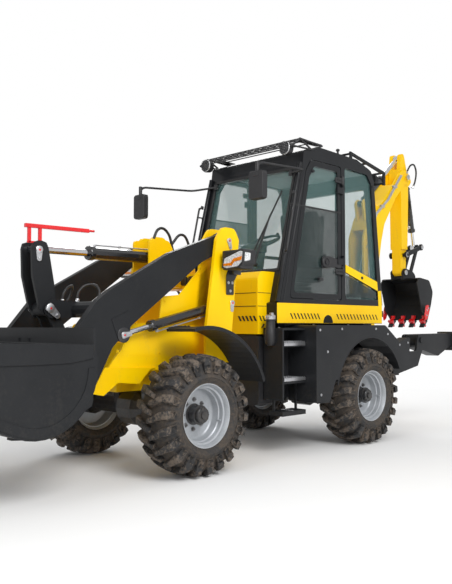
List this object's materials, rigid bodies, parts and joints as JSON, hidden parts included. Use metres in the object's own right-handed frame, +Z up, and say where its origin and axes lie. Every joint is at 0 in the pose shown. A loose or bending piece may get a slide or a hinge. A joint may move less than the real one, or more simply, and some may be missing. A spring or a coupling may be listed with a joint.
{
  "type": "articulated compact backhoe loader",
  "caption": "Articulated compact loader with a front bucket on lifting arms, a glazed cab and a swinging digging arm with stabiliser legs behind.",
  "frame": {"origin": "under the middle of the whole machine's box, on the ground the tyres stand on", "axes": "+X to the machine's left side, -Y forward to the loader bucket, +Z up"},
  "size_m": [1.75, 6.6322, 3.2702],
  "materials": {
    "yellow_paint": "gloss",
    "charcoal_paint": "satin",
    "tyre": "matte, dusty",
    "rim": "satin",
    "rod": "polished",
    "ram": "gloss",
    "cast": "rough painted",
    "glass": "tinted",
    "black_plastic": "matte",
    "vinyl": "matte"
  },
  "bodies": {
    "left_front_wheel": {"left_front_wheel_tyre": "tyre", "left_front_wheel_rim": "rim"},
    "right_front_wheel": {"right_front_wheel_tyre": "tyre", "right_front_wheel_rim": "rim"},
    "front_frame": {"front_chassis": "yellow_paint", "front_axle": "cast", "loader_tower": "yellow_paint", "left_front_fender": "charcoal_paint", "right_front_fender": "charcoal_paint"},
    "loader_arms": {"loader_arm_frame": "charcoal_paint"},
    "loader_bucket": {"loader_bucket_shell": "charcoal_paint"},
    "rocker": {"rocker_lever": "charcoal_paint"},
    "rocker_link": {"bucket_link": "charcoal_paint"},
    "left_lift_barrel": {"left_lift_ram": "ram"},
    "left_lift_rod": {"left_lift_piston_rod": "rod"},
    "right_lift_barrel": {"right_lift_ram": "ram"},
    "right_lift_rod": {"right_lift_piston_rod": "rod"},
    "tilt_barrel": {"tilt_ram": "ram"},
    "tilt_rod": {"tilt_piston_rod": "rod"},
    "rear_frame": {"rear_chassis": "charcoal_paint", "rear_axle": "cast", "engine_block": "cast", "engine_hood": "yellow_paint", "cab_shell": "charcoal_paint", "windscreen": "glass", "rear_window": "glass", "front_visor": "charcoal_paint", "rear_lamp_guard": "charcoal_paint", "seat": "vinyl", "cab_controls": "black_plastic", "left_mirror": "black_plastic", "left_quarter_glass": "glass", "left_side_body": "charcoal_paint", "right_mirror": "black_plastic", "right_quarter_glass": "glass", "right_side_body": "charcoal_paint", "fuel_tank": "black_plastic", "hydraulic_tank": "black_plastic"},
    "left_door": {"left_door_frame": "charcoal_paint", "left_door_glass": "glass"},
    "left_rear_wheel": {"left_rear_wheel_tyre": "tyre", "left_rear_wheel_rim": "rim"},
    "left_leg": {"left_stabiliser_leg": "charcoal_paint"},
    "right_door": {"right_door_frame": "charcoal_paint", "right_door_glass": "glass"},
    "right_rear_wheel": {"right_rear_wheel_tyre": "tyre", "right_rear_wheel_rim": "rim"},
    "right_leg": {"right_stabiliser_leg": "charcoal_paint"},
    "swing_post": {"hoe_swing_post": "charcoal_paint"},
    "boom": {"hoe_boom": "yellow_paint"},
    "stick": {"hoe_stick": "yellow_paint"},
    "hoe_bucket": {"hoe_bucket_shell": "charcoal_paint"},
    "hoe_lever": {"hoe_bucket_lever": "charcoal_paint"},
    "hoe_link": {"hoe_bucket_link": "charcoal_paint"},
    "hoe_barrel": {"hoe_ram": "ram"},
    "hoe_rod": {"hoe_piston_rod": "rod"},
    "stick_barrel": {"stick_ram": "ram"},
    "stick_rod": {"stick_piston_rod": "rod"},
    "boom_barrel": {"boom_ram": "ram"},
    "boom_rod": {"boom_piston_rod": "rod"}
  },
  "joints": [
    {"name": "steer", "type": "hinge", "parent": "rear_frame", "child": "front_frame", "pos_m": [0, -0.33294, 0.7], "axis": [0, 0, 1], "range_deg": [-28, 28]},
    {"name": "left_rear_wheel_spin", "type": "hinge", "parent": "rear_frame", "child": "left_rear_wheel", "pos_m": [0.7, 1.01706, 0.46], "axis": [1, 0, 0], "continuous": true},
    {"name": "left_front_wheel_spin", "type": "hinge", "parent": "front_frame", "child": "left_front_wheel", "pos_m": [0.7, -1.18294, 0.46], "axis": [1, 0, 0], "continuous": true},
    {"name": "left_door_swing", "type": "hinge", "parent": "rear_frame", "child": "left_door", "pos_m": [0.622, 0.87706, 1.33], "axis": [0, 0, 1], "range_deg": [0, 85]},
    {"name": "left_leg_lower", "type": "hinge", "parent": "rear_frame", "child": "left_leg", "pos_m": [0.61, 2.18906, 0.977], "axis": [-1, 0, 0], "range_deg": [0, 70]},
    {"name": "right_rear_wheel_spin", "type": "hinge", "parent": "rear_frame", "child": "right_rear_wheel", "pos_m": [-0.7, 1.01706, 0.46], "axis": [1, 0, 0], "continuous": true},
    {"name": "right_front_wheel_spin", "type": "hinge", "parent": "front_frame", "child": "right_front_wheel", "pos_m": [-0.7, -1.18294, 0.46], "axis": [1, 0, 0], "continuous": true},
    {"name": "right_door_swing", "type": "hinge", "parent": "rear_frame", "child": "right_door", "pos_m": [-0.622, 0.87706, 1.33], "axis": [0, 0, -1], "range_deg": [0, 85]},
    {"name": "right_leg_lower", "type": "hinge", "parent": "rear_frame", "child": "right_leg", "pos_m": [-0.61, 2.18906, 0.977], "axis": [-1, 0, 0], "range_deg": [0, 70]},
    {"name": "loader_lift", "type": "hinge", "parent": "front_frame", "child": "loader_arms", "pos_m": [0, -0.63794, 1.845], "axis": [-1, 0, 0], "range_deg": [-11, 68]},
    {"name": "bucket_tilt", "type": "hinge", "parent": "loader_arms", "child": "loader_bucket", "pos_m": [0, -2.06794, 0.625], "axis": [1, 0, 0], "range_deg": [-8, 70]},
    {"name": "rocker_turn", "type": "hinge", "parent": "loader_arms", "child": "rocker", "pos_m": [0, -2.08294, 1.26], "axis": [1, 0, 0], "range_deg": [-50, 10]},
    {"name": "rocker_link_turn", "type": "hinge", "parent": "rocker", "child": "rocker_link", "pos_m": [0, -1.87294, 0.89], "axis": [1, 0, 0], "range_deg": [-15, 90]},
    {"name": "left_lift_barrel_turn", "type": "hinge", "parent": "front_frame", "child": "left_lift_barrel", "pos_m": [0, -0.61994, 1.324], "axis": [-1, 0, 0], "range_deg": [-15, 70]},
    {"name": "right_lift_barrel_turn", "type": "hinge", "parent": "front_frame", "child": "right_lift_barrel", "pos_m": [0, -0.61994, 1.324], "axis": [-1, 0, 0], "range_deg": [-15, 70]},
    {"name": "tilt_barrel_turn", "type": "hinge", "parent": "front_frame", "child": "tilt_barrel", "pos_m": [0, -0.68294, 1.715], "axis": [-1, 0, 0], "range_deg": [-15, 70]},
    {"name": "hoe_swing", "type": "hinge", "parent": "rear_frame", "child": "swing_post", "pos_m": [0, 1.94706, 0.73], "axis": [0, 0, 1], "range_deg": [-90, 90]},
    {"name": "boom_lower", "type": "hinge", "parent": "swing_post", "child": "boom", "pos_m": [0, 2.11706, 1.02], "axis": [-1, 0, 0], "range_deg": [0, 85]},
    {"name": "stick_out", "type": "hinge", "parent": "boom", "child": "stick", "pos_m": [0, 2.92706, 2.97], "axis": [1, 0, 0], "range_deg": [0, 110]},
    {"name": "hoe_bucket_turn", "type": "hinge", "parent": "stick", "child": "hoe_bucket", "pos_m": [0, 2.92206, 1.79], "axis": [1, 0, 0], "range_deg": [-80, 40]},
    {"name": "hoe_lever_turn", "type": "hinge", "parent": "stick", "child": "hoe_lever", "pos_m": [0, 2.92706, 2.01], "axis": [1, 0, 0], "range_deg": [-55, 30]},
    {"name": "hoe_link_turn", "type": "hinge", "parent": "hoe_lever", "child": "hoe_link", "pos_m": [0, 3.27706, 2.13], "axis": [1, 0, 0], "range_deg": [-20, 32]},
    {"name": "boom_barrel_turn", "type": "hinge", "parent": "swing_post", "child": "boom_barrel", "pos_m": [0, 1.96706, 1.25], "axis": [-1, 0, 0], "range_deg": [0, 90]},
    {"name": "stick_barrel_turn", "type": "hinge", "parent": "boom", "child": "stick_barrel", "pos_m": [0, 2.11706, 2.56], "axis": [1, 0, 0], "range_deg": [-10, 5]},
    {"name": "hoe_barrel_turn", "type": "hinge", "parent": "stick", "child": "hoe_barrel", "pos_m": [0, 3.10206, 2.96], "axis": [1, 0, 0], "range_deg": [-8, 5]},
    {"name": "left_lift_rod_slide", "type": "slide", "parent": "left_lift_barrel", "child": "left_lift_rod", "axis": [0, -0.9724, -0.2334], "range_m": [-0.12, 0.62]},
    {"name": "right_lift_rod_slide", "type": "slide", "parent": "right_lift_barrel", "child": "right_lift_rod", "axis": [0, -0.9724, -0.2334], "range_m": [-0.12, 0.62]},
    {"name": "tilt_rod_slide", "type": "slide", "parent": "tilt_barrel", "child": "tilt_rod", "axis": [0, -1, -0.0068], "range_m": [-0.35, 0.06]},
    {"name": "boom_rod_slide", "type": "slide", "parent": "boom_barrel", "child": "boom_rod", "axis": [0, 0.2989, 0.9543], "range_m": [-0.01, 0.4]},
    {"name": "stick_rod_slide", "type": "slide", "parent": "stick_barrel", "child": "stick_rod", "axis": [0, 0.7634, 0.6459], "range_m": [-0.42, 0.01]},
    {"name": "hoe_rod_slide", "type": "slide", "parent": "hoe_barrel", "child": "hoe_rod", "axis": [0, 0.2063, -0.9785], "range_m": [-0.18, 0.33]}
  ],
  "couplings": [
    {"joint": "rocker_turn", "follows": "bucket_tilt", "ratio": -0.6102},
    {"joint": "rocker_link_turn", "follows": "bucket_tilt", "ratio": 1.1875},
    {"joint": "tilt_rod_slide", "follows": "bucket_tilt", "m_per_rad": -0.2633},
    {"joint": "tilt_barrel_turn", "follows": "loader_lift", "ratio": 0.98},
    {"joint": "left_lift_barrel_turn", "follows": "loader_lift", "ratio": 0.9154},
    {"joint": "left_lift_rod_slide", "follows": "loader_lift", "m_per_rad": 0.4857},
    {"joint": "right_lift_barrel_turn", "follows": "loader_lift", "ratio": 0.9154},
    {"joint": "right_lift_rod_slide", "follows": "loader_lift", "m_per_rad": 0.4857},
    {"joint": "boom_barrel_turn", "follows": "boom_lower", "ratio": 1.0225},
    {"joint": "boom_rod_slide", "follows": "boom_lower", "m_per_rad": 0.2523},
    {"joint": "stick_barrel_turn", "follows": "stick_out", "ratio": -0.0468},
    {"joint": "stick_rod_slide", "follows": "stick_out", "m_per_rad": -0.2135},
    {"joint": "hoe_lever_turn", "follows": "hoe_bucket_turn", "ratio": 0.6221},
    {"joint": "hoe_link_turn", "follows": "hoe_bucket_turn", "ratio": -0.3367},
    {"joint": "hoe_barrel_turn", "follows": "hoe_bucket_turn", "ratio": 0.027},
    {"joint": "hoe_rod_slide", "follows": "hoe_bucket_turn", "m_per_rad": -0.21761}
  ]
}
